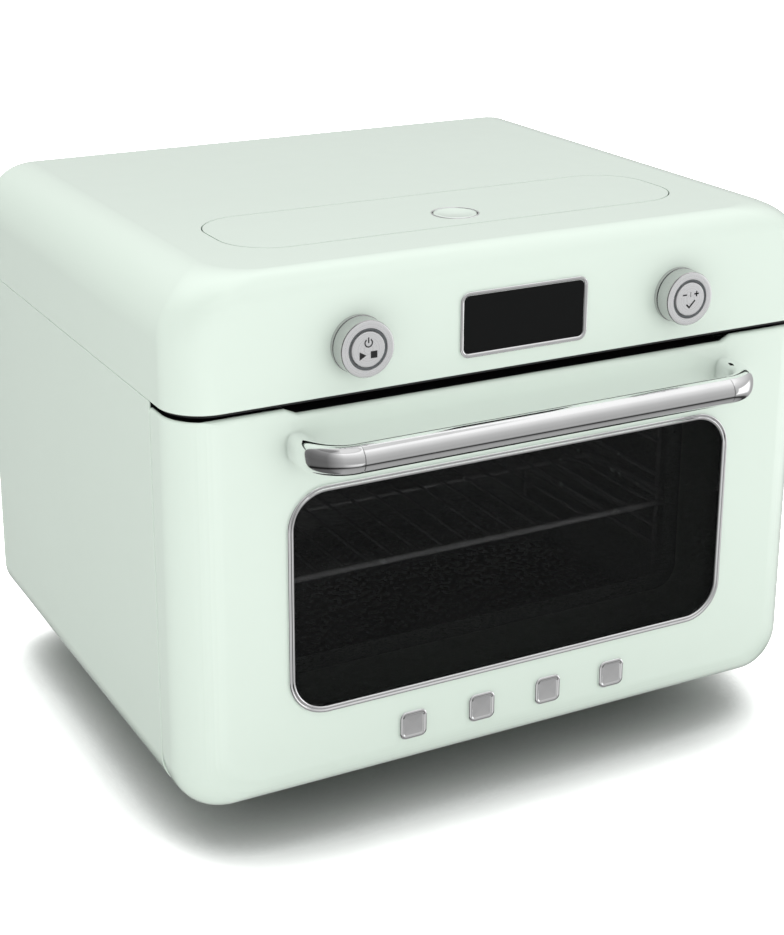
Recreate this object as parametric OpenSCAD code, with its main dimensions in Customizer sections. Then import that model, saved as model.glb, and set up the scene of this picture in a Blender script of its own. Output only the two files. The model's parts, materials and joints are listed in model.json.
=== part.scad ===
// Countertop steam oven with a drop-down glass door, a lift-out water tank and two push-and-turn knobs.
// +X is to the right of a person facing the door, -Y is towards that person, +Z is up.
// The origin is on the table, under the middle of the whole object.

/* [Body] */
// Width of the case
body_w = 496; // [470:1:540]
// Depth of the case, from the front face to the back
body_d = 403; // [395:1:430]
// Height of the case above its feet
body_h = 366; // [366:1:380]
// Height of the feet
foot_h = 37; // [37:1:45]
// Radius of the two long top edges
top_r = 41; // [30:1:50]
// Radius of the two long bottom edges
base_r = 30; // [24:1:34]
// Radius of the two upright front edges
corner_r = 30; // [20:1:34]
// Thickness of the painted sheet
sheet_t = 1.5; // [1:0.1:2]

/* [Cover] */
// Height of the top cover
cover_h = 83.4; // [83:0.1:90]
// Wall of the top cover
cover_wall = 2.5; // [2:0.1:3]
// Radius of the cover's top front edge
brow_r = 20; // [14:1:22]

/* [Door] */
// Thickness of the door
door_t = 44.4; // [42:0.1:46]
// Gap between the top of the door and the cover
door_gap = 4.6; // [4:0.1:6]
// How much lower the middle of the door's top edge is
door_dip = 4; // [2:0.1:5]
// Half the length of the lowered stretch
dip_half = 165.5; // [150:0.5:175]
// Radius of the door's bottom front edge
sole_r = 22; // [16:1:24]
// Clear width of the window
window_w = 340.6; // [320:0.1:342]
// Clear height of the window
window_h = 153.4; // [140:0.1:156]
// Height of the window's middle above the case's underside
window_up = 142.1; // [138:0.1:144]
// Corner radius of the window
window_r = 24; // [16:1:28]
// Width of the window's bright frame
bezel_w = 4.6; // [3:0.1:6]
// Side of each square trim stud
stud_w = 21; // [16:1:24]
// Spacing of the trim studs
stud_pitch = 54.4; // [50:0.1:60]
// Height of the studs' middle above the case's underside
stud_up = 35; // [32:0.5:38]

/* [Handle] */
// Length of the handle over its two brackets
handle_w = 349.4; // [330:0.1:360]
// Diameter of the handle tube
handle_d = 19.4; // [16:0.1:20]
// How far the handle stands out from the door
handle_reach = 47; // [46:0.1:55]
// Height of the handle above the case's underside
handle_up = 253.1; // [246:0.1:255]
// Thickness of a bracket's arm
arm_t = 14.3; // [12:0.1:15]

/* [Controls] */
// Height of the knobs' middle above the case's underside
control_up = 315; // [314:0.5:317]
// Distance of each knob from the middle
knob_x = 123.8; // [110:0.1:140]
// Diameter of a knob
knob_d = 37.8; // [34:0.1:40]
// How far a knob stands out
knob_reach = 15; // [14:0.1:18]
// Travel of a knob's centre button
press_travel = 2; // [1:0.1:2.5]
// Clear width of the display
display_w = 92.6; // [80:0.1:100]
// Clear height of the display
display_h = 39; // [34:0.1:40]

/* [Tank] */
// Width of the tank lid
lid_w = 352; // [320:1:356]
// Depth of the tank lid
lid_d = 93; // [88:1:96]
// Distance from the front face to the lid
lid_set = 61.5; // [60:0.5:64]
// Corner radius of the lid
lid_r = 36; // [30:1:40]
// Gap around the lid
lid_gap = 0.9; // [0.6:0.1:1.5]
// Diameter of the lid's round button with its ring
lid_button_d = 34; // [30:0.5:36]
// Travel of the lid's button
lid_press = 3; // [2:0.1:3]

/* [Cavity] */
// Clear width of the oven cavity
cavity_w = 390; // [380:1:392]
// Clear height of the oven cavity
cavity_h = 226; // [220:1:228]
// Clear depth of the oven cavity
cavity_d = 300; // [296:1:302]
// Spacing of the rack levels
level_pitch = 42.3; // [40:0.1:44]

/* [Hidden] */

$fn = 64;
enamel = "#e5efe6";
chrome = "#d9dbde";
steel = "#b9bcbf";
black = "#1b1c1d";

// Main planes
front_y = handle_reach - (body_d + handle_reach) / 2;
back_y = front_y + body_d;
base_z = foot_h;
top_z = base_z + body_h;
seam_z = top_z - cover_h;
half_w = body_w / 2;
rear_r = 6;

// Door and its hinge
door_back = front_y + door_t;
door_top = seam_z - door_gap;
door_skin = 1.5;
door_lip = 4;
hinge_r = 8;
hinge_y = door_back - hinge_r;
hinge_z = base_z + hinge_r;
pin_r = 3;
hinge_x = 222;
hinge_arm_t = 4;
hinge_slot_half = 5;
hinge_slot_top = base_z + 23;
window_z = base_z + window_up;
panel_back = door_back - 0.6;
panel_t = 1.5;
glass_t = 4;
outer_glass_y = front_y + 1.2;
inner_window_in = 16;
slope_run = 8.5;

// Case behind the door
shell_front = door_back + 1.2;
frame_front = door_back + 3.6;
frame_t = 1.2;
rear_panel_y = back_y - 7;
rear_panel_t = 2;
rear_panel_back = rear_panel_y + rear_panel_t;
rear_vent_start = 70;
rear_vent_pitch = 12;
rear_vent_w = 4;
rear_vent_h = 70;
rear_vent_up = 20;
rear_screw_r = 1.8;
rear_screw_head_r = 4;
rear_screw_head_t = 2;
rear_screw_cross = 5;
rear_screw_end = 150;
rear_screw_pitch = 60;
rear_screw_rows = [base_z + 24, seam_z - 14];
gland_x = -190;
gland_z = base_z + 48;
gland_r = 8.9;
base_plate_w = 430;
base_plate_d = 340;
base_plate_y = 46;
base_plate_t = 1.5;
base_slot_end = 140;
base_slot_pitch = 56;
base_slot_w = 30;
base_slot_d = 6;
foot_x = 160;
foot_front = -60;
foot_rear = 180;
foot_r = 15;
foot_flange_r = 19;
foot_flange = 7;
pad_r = 13;
pad_h = 5;
air_slot_pitch = 24;
air_slot_w = 15;
air_slot_h = 5;
air_slot_z = seam_z - 10;
deck_z = seam_z + 1;
deck_t = 1.2;
deck_top = deck_z + deck_t;
deck_w = 484;
deck_d = 342;
deck_slot_start = 150;
deck_slot_end = 220;
deck_slot_pitch = 14;
deck_slot_w = 5;
deck_slot_d = 90;

// Cavity
liner_t = 1;
liner_front = frame_front + frame_t;
liner_back = liner_front + cavity_d;
cavity_z = base_z + 29;
cavity_top = cavity_z + cavity_h;
cavity_mid = cavity_z + cavity_h / 2;
cavity_r = 14;
wool_t = 16;
gasket_out = 10;
gasket_in = 4;
lamp_y = 90;
lamp_z = 240;
lamp_r = 17;
lens_r = 23;
bulb_r = 9;
bulb_x = half_w - 38;
lamp_back = half_w - 12;
lamp_floor = half_w - 22;
sensor_x = 165;
sensor_z = 262;
sensor_r = 2.5;
sensor_flange_r = 5;
sensor_l = 40;
guard_y = liner_back - 31;
guard_w = 300;
guard_h = 190;
guard_r = 20;
guard_t = 1.2;
guard_hole_r = 3.6;
guard_ring_step = 11;
guard_slot_start = 82;
guard_slot_pitch = 9;
guard_slot_w = 4;
guard_slot_h = 130;
fan_r = 62;
fan_hub_r = 12;
fan_blades = 16;
fan_plate_y = 10;
fan_plate_t = 1.2;
fan_hole_r = 7;
blade_l = 20;
blade_w = 16;
blade_t = 1;
blade_tilt = 24;
fan_y = guard_y + 10;
shaft_r = 3;
motor_y = liner_back + wool_t + 3;
motor_plate_w = 110;
motor_plate_h = 50;
motor_plate_t = 2;
motor_w = 62;
motor_l = 16;
motor_cap_r = 20;
motor_cap_l = 4;
heater_r = 80;
heater_leg_x = 14;
heater_leg_z = cavity_mid + heater_r - 1.2;
tube_r = 3.25;
grill_z = cavity_top - 12;
grill_pitch = 48;
grill_front = -80;
grill_rear = 120;
steam_x = -150;
steam_y = 100;
pipe_r = 4;
pump_x = -165;
pump_z = deck_z + 18;
pump_front = -6;
pump_rear = 20;
pump_r = 14;
pump_foot_w = 30;
pump_foot_d = 22;
boiler_front = 34;
boiler_rear = 118;
boiler_left = -205;
boiler_right = -125;
boiler_h = 34;
boiler_r = 8;

// Rack and its supports
wire_r = 2;
rack_wire_r = 2.5;
ladder_front = front_y + 95;
ladder_rear = ladder_front + 190;
ladder_x = cavity_w / 2 - 9;
rail_x = ladder_x - 2 * wire_r + 0.2;
rail_z = cavity_z + 52;
rail_pair = 15.8;
rack_x = rail_x - 1.2;
rack_front = front_y + 66;
rack_rear = 100;
rack_z = rail_z + level_pitch + wire_r + rack_wire_r + 0.05;
rack_bar_pitch = 20;
rack_bar_r = 1.25;
cross_bar_r = 1.75;

// Handle
handle_z = base_z + handle_up;
handle_r = handle_d / 2;
handle_y = front_y - handle_reach + handle_r;
bend_r = 23;
bezel_t = 1.8;
stud_t = 2;
stud_r = 5;
seam_x = handle_w / 2 - handle_r - bend_r;
arm_x = handle_w / 2 - arm_t / 2;
spigot_r = handle_r - 1.3;
spigot_l = 14;
screw_r = 2.5;

// Controls
control_z = base_z + control_up;
knob_r = knob_d / 2;
knob_face = front_y - knob_reach;
knob_back = front_y - 3;
collar_r = knob_r + 0.3;
collar_t = 2.6;
sleeve_r = 8;
stem_r = 5;
groove_r = 13.75;
button_r = 11.7;
board_y = front_y + 24;
board_t = 1.6;
switch_y = board_y - 3;
encoder_y = front_y + 5;
encoder_w = 28;
encoder_d = 14.5;
encoder_bore = 12.5;
board_half = 165;
switch_w = 7;
power_part_w = 18;
power_part_h = 22;
power_part_d = 15;
coil_r = 8;
coil_l = 16;
display_bezel_w = 3;
display_bezel_t = 1.4;
display_sleeve = 1.9;
display_glass_t = 2.2;

// Tank
lid_y = front_y + lid_set + lid_d / 2;
lid_t = 4;
lid_z = top_z - lid_t;
well_wall = 2;
well_z = deck_top + 2.5;
well_margin = 3;
tank_inset = 3.5;
tank_wall = 2;
tank_z = well_z + well_wall + 0.2;
ring_r = lid_button_d / 2;
ring_wall = 1.4;
lid_button_y = front_y + 93;
cup_floor = lid_z - 13;
cup_wall = 2;
lid_rim_h = 5;
ring_h = 7;
ring_proud = 0.5;
button_proud = 0.3;
lid_stem_r = 5;

// Cooling blower
blower_y = 70;
blower_r = 24;
blower_half = 70;
blower_shell = 30;
blower_wall = 1.2;
blower_z = deck_top + blower_shell + blower_wall + 0.3;
blower_disc_t = 1.2;
blower_blades = 18;
blower_blade_w = 6;
blower_blade_t = 0.8;
blower_out_h = 26;
blower_motor_x = blower_half + 8;
blower_motor_r = 22;
blower_motor_l = 26;
blower_plate_w = 56;
blower_plate_h = 52;
blower_plate_t = 2;

// A rectangle from (x0, y0) to (x1, y1); r holds the radii of its corners, counted
// anticlockwise from (x0, y0).
module panel(x0, y0, x1, y1, r = [0, 0, 0, 0]) {
    corners = [[x0, y0, 1, 1], [x1, y0, -1, 1], [x1, y1, -1, -1], [x0, y1, 1, -1]];
    difference() {
        translate([x0, y0]) square([x1 - x0, y1 - y0]);
        for (i = [0:3])
            if (r[i] > 0)
                translate([corners[i][0], corners[i][1]])
                    scale([corners[i][2], corners[i][3]])
                        translate([-1, -1]) square(r[i] + 1);
    }
    for (i = [0:3])
        if (r[i] > 0)
            translate([corners[i][0] + corners[i][2] * r[i], corners[i][1] + corners[i][3] * r[i]])
                circle(r[i]);
}

// A rounded rectangle around (x, y)
module plate(x, y, w, h, r) {
    panel(x - w / 2, y - h / 2, x + w / 2, y + h / 2, [r, r, r, r]);
}

// Extrudes an outline drawn in X and Z from y0 to y1
module along_y(y0, y1) {
    translate([0, y1, 0]) rotate([90, 0, 0]) linear_extrude(y1 - y0) children();
}

// Extrudes an outline drawn in Y and Z from x0 to x1
module along_x(x0, x1) {
    translate([x0, 0, 0]) rotate([90, 0, 90]) linear_extrude(x1 - x0) children();
}

// Extrudes an outline drawn in X and Y from z0 to z1
module along_z(z0, z1) {
    translate([0, 0, z0]) linear_extrude(z1 - z0) children();
}

module rod_y(x, z, r, y0, y1) {
    along_y(y0, y1) translate([x, z]) circle(r);
}

module rod_x(y, z, r, x0, x1) {
    along_x(x0, x1) translate([y, z]) circle(r);
}

module rod_z(x, y, r, z0, z1) {
    along_z(z0, z1) translate([x, y]) circle(r);
}

// The cover's rounded form, made smaller by i on every side and reaching down to z0
module cover_form(i, z0) {
    intersection() {
        along_y(front_y + i, back_y - i)
            panel(i - half_w, z0, half_w - i, top_z - i, [0, 0, top_r - i, top_r - i]);
        along_z(z0, top_z)
            panel(i - half_w, front_y + i, half_w - i, back_y - i,
                [corner_r - i, corner_r - i, rear_r - i, rear_r - i]);
        along_x(-half_w, half_w)
            panel(front_y + i, z0, back_y - i, top_z - i, [0, 0, rear_r - i, brow_r - i]);
    }
}

// The case's U-shaped outline below the cover, made smaller by i
module case_outline(i, z1) {
    panel(i - half_w, base_z + i, half_w - i, z1, [base_r - i, base_r - i, 0, 0]);
}

// The door's face, made smaller by i, with its lowered middle along the top
module door_outline(i) {
    difference() {
        panel(i - half_w, base_z + i, half_w - i, door_top - i, [base_r - i, base_r - i, 2, 2]);
        polygon([
            [-dip_half - slope_run - i, door_top - i + 0.01], [-dip_half - i, door_top - door_dip - i],
            [dip_half + i, door_top - door_dip - i], [dip_half + slope_run + i, door_top - i + 0.01]]);
    }
}

// The door's whole rounded form, made smaller by i and reaching back to y1
module door_form(i, y1) {
    intersection() {
        along_y(front_y + i, y1) door_outline(i);
        along_z(base_z, door_top)
            panel(i - half_w, front_y + i, half_w - i, y1 + 50, [corner_r - i, corner_r - i, 0, 0]);
        along_x(-half_w, half_w)
            panel(front_y + i, base_z + i, door_back, door_top, [sole_r - i, hinge_r - i, 0, door_lip]);
    }
}

module lid_outline(grow) {
    plate(0, lid_y, lid_w + 2 * grow, lid_d + 2 * grow, lid_r + grow);
}

module window_outline(grow) {
    plate(0, window_z, window_w + 2 * grow, window_h + 2 * grow, window_r + grow);
}

module display_outline(grow) {
    plate(0, control_z + 0.6, display_w + 2 * grow, display_h + 2 * grow, 4 + grow);
}

module cavity_outline(grow) {
    plate(0, cavity_mid, cavity_w + 2 * grow, cavity_h + 2 * grow, cavity_r + grow);
}

// ---- Casing ----

module top_cover() {
    color(enamel) difference() {
        cover_form(0, seam_z);
        cover_form(cover_wall, seam_z - 1);
        along_y(front_y - 1, front_y + 4) display_outline(2);
        for (s = [-1, 1]) rod_y(s * knob_x, control_z, sleeve_r + 1.2, front_y - 1, front_y + 4);
        along_z(top_z - 4, top_z + 1) lid_outline(lid_gap);
    }
}

module body_shell() {
    color(enamel) difference() {
        along_y(shell_front, back_y) case_outline(0, seam_z - 0.6);
        along_y(shell_front - 1, back_y + 1) case_outline(sheet_t, seam_z);
    }
}

module base_plate() {
    color(steel) difference() {
        along_z(base_z + sheet_t, base_z + sheet_t + base_plate_t)
            plate(0, base_plate_y, base_plate_w, base_plate_d, 8);
        for (x = [-base_slot_end:base_slot_pitch:base_slot_end])
            along_z(base_z, base_z + 8) plate(x, base_plate_y + 14, base_slot_w, base_slot_d, base_slot_d / 2);
    }
}

module rear_panel() {
    color("#8d9194") difference() {
        along_y(rear_panel_y, rear_panel_back) case_outline(sheet_t + 0.2, seam_z - 1);
        for (s = [-1, 1], k = [0:9])
            along_y(rear_panel_y - 1, back_y)
                plate(s * (rear_vent_start + rear_vent_pitch * k), cavity_mid + rear_vent_up,
                    rear_vent_w, rear_vent_h, rear_vent_w / 2);
        for (x = [-rear_screw_end:rear_screw_pitch:rear_screw_end], z = rear_screw_rows)
            rod_y(x, z, rear_screw_r + 0.2, rear_panel_y - 1, back_y);
        rod_y(gland_x, gland_z, gland_r + 0.1, rear_panel_y - 1, back_y);
    }
}

module rear_screws() {
    color(steel) for (x = [-rear_screw_end:rear_screw_pitch:rear_screw_end], z = rear_screw_rows) {
        rod_y(x, z, rear_screw_r, rear_panel_y - 6, rear_panel_back);
        difference() {
            rod_y(x, z, rear_screw_head_r, rear_panel_back, rear_panel_back + rear_screw_head_t);
            along_y(rear_panel_back + 1, back_y) {
                plate(x, z, rear_screw_cross, 1, 0.4);
                plate(x, z, 1, rear_screw_cross, 0.4);
            }
        }
    }
}

module power_gland() {
    color(black) difference() {
        union() {
            rod_y(gland_x, gland_z, gland_r + 4, rear_panel_back, back_y - 1);
            rod_y(gland_x, gland_z, gland_r, rear_panel_y - 8, rear_panel_back);
        }
        rod_y(gland_x, gland_z, gland_r / 2, rear_panel_y - 9, back_y);
    }
}

module foot_places() {
    for (x = [-foot_x, foot_x], y = [foot_front, foot_rear])
        translate([x, y, 0]) children();
}

module feet() {
    color(black) foot_places() {
        translate([0, 0, pad_h]) cylinder(h = base_z - foot_flange - pad_h, r = foot_r);
        translate([0, 0, base_z - foot_flange]) cylinder(h = foot_flange, r = foot_flange_r);
    }
}

module foot_pads() {
    color("#303234") foot_places() cylinder(h = pad_h, r = pad_r);
}

module front_frame() {
    color(black) difference() {
        along_y(frame_front, frame_front + frame_t) case_outline(sheet_t + 0.5, seam_z - 1.2);
        along_y(frame_front - 1, frame_front + 3) cavity_outline(0);
        along_y(frame_front - 1, frame_front + 3) hinge_slots(base_z);
        air_slots();
    }
}

// The row of cooling-air slots above the cavity
module air_slots() {
    along_y(frame_front - 4, frame_front + 3)
        for (k = [-8:8]) plate(k * air_slot_pitch, air_slot_z, air_slot_w, air_slot_h, 2.4);
}

module air_outlet_grille() {
    color(black) {
        intersection() {
            cover_form(cover_wall + 0.3, seam_z - 2.4);
            translate([-half_w, front_y, seam_z - 2.4]) cube([body_w, door_t + 1.6, 2.2]);
        }
        difference() {
            along_y(door_back + 1.4, frame_front - 0.1)
                panel(-240, seam_z - 15, 240, seam_z - 2.4, [3, 3, 0, 0]);
            air_slots();
        }
    }
}

module top_deck() {
    color(steel) difference() {
        along_z(deck_z, deck_top) plate(0, 44, deck_w, deck_d, 6);
        rod_z(steam_x, steam_y, pipe_r + 2, deck_z - 1, deck_z + 3);
        for (x = [deck_slot_start:deck_slot_pitch:deck_slot_end])
            along_z(deck_z - 1, deck_z + 3) plate(x, 60, deck_slot_w, deck_slot_d, 2);
    }
}

// ---- Oven cavity ----

module wall_passages(grow) {
    rod_y(0, cavity_mid, shaft_r + 2 + grow, liner_back - 2, liner_back + 30);
    rod_x(lamp_y, lamp_z, lamp_r + 1 + grow, cavity_w / 2 - 2, cavity_w / 2 + 30);
    rod_y(sensor_x, sensor_z, sensor_r + 0.2 + grow, liner_back - 2, liner_back + 30);
    rod_z(steam_x, steam_y, pipe_r + 0.2 + grow, cavity_top - 2, cavity_top + 30);
    for (s = [-1, 1]) {
        rod_y(s * grill_pitch * 2.5, grill_z, tube_r + 0.2 + grow, liner_back - 2, liner_back + 30);
        rod_y(s * heater_leg_x, heater_leg_z, tube_r + 0.2 + grow, liner_back - 2, liner_back + 30);
    }
}

module cavity_liner() {
    color(steel) difference() {
        along_y(liner_front, liner_back + liner_t) cavity_outline(liner_t);
        along_y(liner_front - 1, liner_back) cavity_outline(0);
        wall_passages(0);
    }
}

module insulation() {
    color("#d8c98e") difference() {
        along_y(liner_front + 2, liner_back + liner_t + wool_t) cavity_outline(liner_t + wool_t);
        along_y(liner_front, liner_back + liner_t + 0.1) cavity_outline(liner_t + 0.1);
        wall_passages(8);
    }
}

module fan_guard() {
    color(steel) difference() {
        along_y(guard_y, liner_back - 0.1) plate(0, cavity_mid, guard_w, guard_h, guard_r);
        along_y(guard_y + guard_t, liner_back)
            plate(0, cavity_mid, guard_w - 2 * guard_t, guard_h - 2 * guard_t, guard_r - guard_t);
        along_y(guard_y - 1, guard_y + 3) {
            translate([0, cavity_mid]) for (ring = [1:4], k = [0:ring * 6 - 1])
                rotate(k * 60 / ring) translate([ring * guard_ring_step, 0]) circle(guard_hole_r);
            translate([0, cavity_mid]) circle(guard_hole_r);
            for (s = [-1, 1], k = [0:6])
                plate(s * (guard_slot_start + guard_slot_pitch * k), cavity_mid,
                    guard_slot_w, guard_slot_h, guard_slot_w / 2);
        }
    }
}

module convection_fan() {
    color(steel) {
        rod_y(0, cavity_mid, fan_hub_r, fan_y - 3, fan_y + fan_plate_y + 2);
        rod_y(0, cavity_mid, shaft_r, fan_y - 6, motor_y + 20);
        difference() {
            rod_y(0, cavity_mid, fan_r, fan_y + fan_plate_y, fan_y + fan_plate_y + fan_plate_t);
            for (k = [0:7]) translate([0, 0, cavity_mid]) rotate([0, 45 * k, 0])
                rod_y(fan_r / 2 - 1, 0, fan_hole_r, fan_y + fan_plate_y - 1, fan_y + fan_plate_y + 3);
        }
        for (k = [0:fan_blades - 1])
            translate([0, 0, cavity_mid]) rotate([0, 360 / fan_blades * k, 0])
            translate([fan_r - blade_l - 2, 0, 0]) rotate([0, blade_tilt, 0])
                translate([0, fan_y - 5, -blade_t / 2]) cube([blade_l, blade_w, blade_t]);
    }
}

module fan_motor() {
    cap_y = motor_y + motor_plate_t + motor_l;
    color("#6f7478") difference() {
        union() {
            along_y(motor_y, motor_y + motor_plate_t)
                plate(0, cavity_mid, motor_plate_w, motor_plate_h, 6);
            along_y(motor_y + motor_plate_t, cap_y) plate(0, cavity_mid, motor_w, motor_w, 6);
            rod_y(0, cavity_mid, motor_cap_r, cap_y, cap_y + motor_cap_l);
        }
        rod_y(0, cavity_mid, shaft_r + 0.05, motor_y - 1, cap_y + motor_cap_l - 1);
    }
}

module ring_heater() {
    color("#5a5b5d") {
        translate([0, fan_y + 3, cavity_mid]) rotate([90, 0, 0])
            rotate_extrude() translate([heater_r, 0]) circle(tube_r);
        for (s = [-1, 1])
            rod_y(s * heater_leg_x, heater_leg_z, tube_r, fan_y + 3, liner_back + wool_t);
    }
}

module grill_element() {
    color("#5a5b5d") {
        for (k = [0:5]) {
            end_run = k == 0 || k == 5;
            rod_y((k - 2.5) * grill_pitch, grill_z, tube_r, grill_front,
                end_run ? liner_back + wool_t : grill_rear);
        }
        for (k = [0:4]) {
            at_front = k % 2 == 0;
            translate([(k - 2) * grill_pitch, at_front ? grill_front : grill_rear, grill_z])
                rotate([0, 0, at_front ? 180 : 0])
                    rotate_extrude(angle = 180) translate([grill_pitch / 2, 0]) circle(tube_r);
        }
    }
}

module temperature_sensor() {
    color(steel) {
        rod_y(sensor_x, sensor_z, sensor_r, liner_back - sensor_l, liner_back + wool_t);
        rod_y(sensor_x, sensor_z, sensor_flange_r, liner_back - 3, liner_back - 0.1);
    }
}

// Wire ladder on one side wall: s is -1 on the left and 1 on the right
module rack_support(s) {
    color(chrome) {
        for (y = [ladder_front, ladder_rear]) {
            rod_z(s * ladder_x, y, wire_r, cavity_z + 22, cavity_top - 22);
            for (z = [cavity_z + 30, cavity_top - 30])
                if (s > 0) rod_x(y, z, wire_r, ladder_x, cavity_w / 2 - 0.1);
                else rod_x(y, z, wire_r, 0.1 - cavity_w / 2, -ladder_x);
        }
        for (level = [0:2], k = [0, 1])
            rod_y(s * rail_x, rail_z + level * level_pitch + k * rail_pair, wire_r,
                ladder_front - 6, ladder_rear + 6);
    }
}

module rack_support_left() {
    rack_support(-1);
}

module rack_support_right() {
    rack_support(1);
}

module wire_rack() {
    bars = floor((rack_x - 12) / rack_bar_pitch);
    color(chrome) {
        for (y = [rack_front, rack_rear]) rod_x(y, rack_z, rack_wire_r, -rack_x, rack_x);
        for (s = [-1, 1]) rod_y(s * rack_x, rack_z, rack_wire_r, rack_front, rack_rear);
        for (s = [-1, 1], y = [rack_front, rack_rear])
            translate([s * rack_x, y, rack_z]) sphere(rack_wire_r);
        for (k = [-bars:bars])
            rod_y(k * rack_bar_pitch, rack_z + 1, rack_bar_r, rack_front, rack_rear);
        rod_x(0, rack_z - 1.5, cross_bar_r, -rack_x, rack_x);
    }
}

module lamp_housing() {
    color("#d9d9d4") difference() {
        rod_x(lamp_y, lamp_z, lamp_r, cavity_w / 2 + liner_t + 0.2, lamp_back);
        rod_x(lamp_y, lamp_z, lamp_r - 2, cavity_w / 2, lamp_floor);
    }
    color("#f4ead0") {
        rod_x(lamp_y, lamp_z, 6, bulb_x + 4, lamp_floor);
        translate([bulb_x, lamp_y, lamp_z]) sphere(bulb_r);
    }
}

module lamp_lens() {
    color("#e8eef0") difference() {
        rod_x(lamp_y, lamp_z, lens_r, cavity_w / 2 - 6, cavity_w / 2 - 0.1);
        rod_x(lamp_y, lamp_z, lens_r - 3, cavity_w / 2 - 4, cavity_w / 2 + 1);
    }
}

module door_gasket() {
    color("#2a2b2c") difference() {
        along_y(door_back - 0.3, frame_front) cavity_outline(gasket_out);
        along_y(door_back - 1, frame_front + 1) cavity_outline(gasket_in);
    }
}

// ---- Hinges ----

// The two slots that let the fixed brackets into the door, from z0 up
module hinge_slots(z0) {
    for (s = [-1, 1])
        panel(s * hinge_x - hinge_slot_half, z0, s * hinge_x + hinge_slot_half, hinge_slot_top);
}

module hinge_bracket(s) {
    x0 = s * hinge_x - hinge_arm_t / 2;
    color(steel) difference() {
        union() {
            rod_x(hinge_y, hinge_z, hinge_r - 1.6, x0, x0 + hinge_arm_t);
            along_x(x0, x0 + hinge_arm_t)
                panel(hinge_y, hinge_z - 3, frame_front + 70, hinge_z + 5, [0, 3, 3, 0]);
            along_x(x0, x0 + hinge_arm_t)
                panel(frame_front + 15, base_z + 6, frame_front + 70, hinge_z + 9, [0, 0, 3, 3]);
        }
        rod_x(hinge_y, hinge_z, pin_r + 0.05, x0 - 1, x0 + hinge_arm_t + 1);
    }
}

module hinge_bracket_left() {
    hinge_bracket(-1);
}

module hinge_bracket_right() {
    hinge_bracket(1);
}

module hinge_pins() {
    color(steel) for (s = [-1, 1]) {
        rod_x(hinge_y, hinge_z, pin_r, s * hinge_x - 9, s * hinge_x + 9);
        for (side = [-1, 1])
            along_x(s * hinge_x + side * 7 - 2.5, s * hinge_x + side * 7 + 2.5)
                panel(hinge_y - 6, hinge_z - 2.5, panel_back - panel_t, hinge_z + 6, [1, 1, 3, 3]);
    }
}

// ---- Door ----

module door_outer_panel() {
    color(enamel) difference() {
        door_form(0, door_back);
        difference() {
            door_form(door_skin, door_back + 1);
            translate([-half_w, front_y, door_top - door_dip - 3]) cube([body_w, door_lip, 20]);
        }
        translate([0, 0, -0.05]) intersection() {
            along_y(front_y + door_lip, door_back + 1) translate([0, 12]) door_outline(door_skin);
            along_z(base_z + 100, door_top + 9)
                panel(door_skin - half_w, front_y + door_lip, half_w - door_skin, door_back + 50,
                    [corner_r - door_lip, corner_r - door_lip, 0, 0]);
        }
        along_y(front_y - 1, front_y + 5) window_outline(bezel_w - 2);
        for (s = [-1, 1]) rod_y(s * arm_x, handle_z, screw_r + 0.2, front_y - 1, front_y + 5);
        along_y(hinge_y - 9, door_back + 12) hinge_slots(base_z - 1);
    }
}

module door_top_trim() {
    color(black) intersection() {
        door_form(door_skin + 0.2, door_back - 0.3);
        along_y(front_y + door_lip + 0.6, door_back - 0.3) difference() {
            door_outline(1);
            translate([0, -2.5]) door_outline(0);
        }
    }
}

module door_inner_panel() {
    color(steel) difference() {
        along_y(panel_back - panel_t, panel_back)
            panel(door_skin + 1 - half_w, base_z + 6, half_w - door_skin - 1, door_top - door_dip - 3.5,
                [base_r - 8, base_r - 8, 2, 2]);
        along_y(panel_back - 5, panel_back + 1) window_outline(-inner_window_in);
        along_y(panel_back - 5, panel_back + 1) hinge_slots(base_z);
    }
}

module window_glass_outer() {
    color("#1c1c1c") along_y(outer_glass_y, outer_glass_y + glass_t) window_outline(bezel_w - 3);
}

module window_glass_inner() {
    color("#3a3f40") along_y(panel_back - panel_t - glass_t, panel_back - panel_t)
        window_outline(-6);
}

module window_bezel() {
    color(chrome) difference() {
        union() {
            along_y(front_y - bezel_t, front_y) window_outline(bezel_w);
            along_y(front_y - 0.1, outer_glass_y) window_outline(bezel_w - 2.1);
        }
        along_y(front_y - 3, front_y + 3) window_outline(0);
    }
}

module trim_studs() {
    color(chrome) along_y(front_y - stud_t, front_y)
        for (k = [-1.5:1:1.5]) plate(k * stud_pitch, base_z + stud_up, stud_w, stud_w, stud_r);
}

module handle_bar() {
    color(chrome) difference() {
        rod_x(handle_y, handle_z, handle_r, -seam_x, seam_x);
        rod_x(handle_y, handle_z, spigot_r + 0.05, -seam_x - 1, seam_x + 1);
    }
}

module handle_bracket() {
    color(chrome) difference() {
        union() {
            rod_x(handle_y, handle_z, spigot_r, seam_x - spigot_l, seam_x);
            translate([seam_x, handle_y + bend_r, handle_z]) rotate([0, 0, -90])
                rotate_extrude(angle = 90) translate([bend_r, 0]) circle(handle_r);
            along_y(handle_y + bend_r - 0.01, front_y)
                plate(arm_x, handle_z, arm_t, handle_d, arm_t / 2 - 0.01);
        }
        rod_y(arm_x, handle_z, screw_r + 0.05, front_y - 14, front_y + 1);
    }
}

module handle_bracket_left() {
    mirror([1, 0, 0]) handle_bracket();
}

module handle_bracket_right() {
    handle_bracket();
}

module handle_screws() {
    color(steel) for (s = [-1, 1]) {
        rod_y(s * arm_x, handle_z, screw_r, front_y - 13, front_y + door_skin);
        rod_y(s * arm_x, handle_z, screw_r + 2, front_y + door_skin, front_y + door_skin + 3);
    }
}

// ---- Control panel ----

module display_glass() {
    color("#191919") along_y(front_y - 0.4, front_y - 0.4 + display_glass_t) display_outline(0);
}

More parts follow.
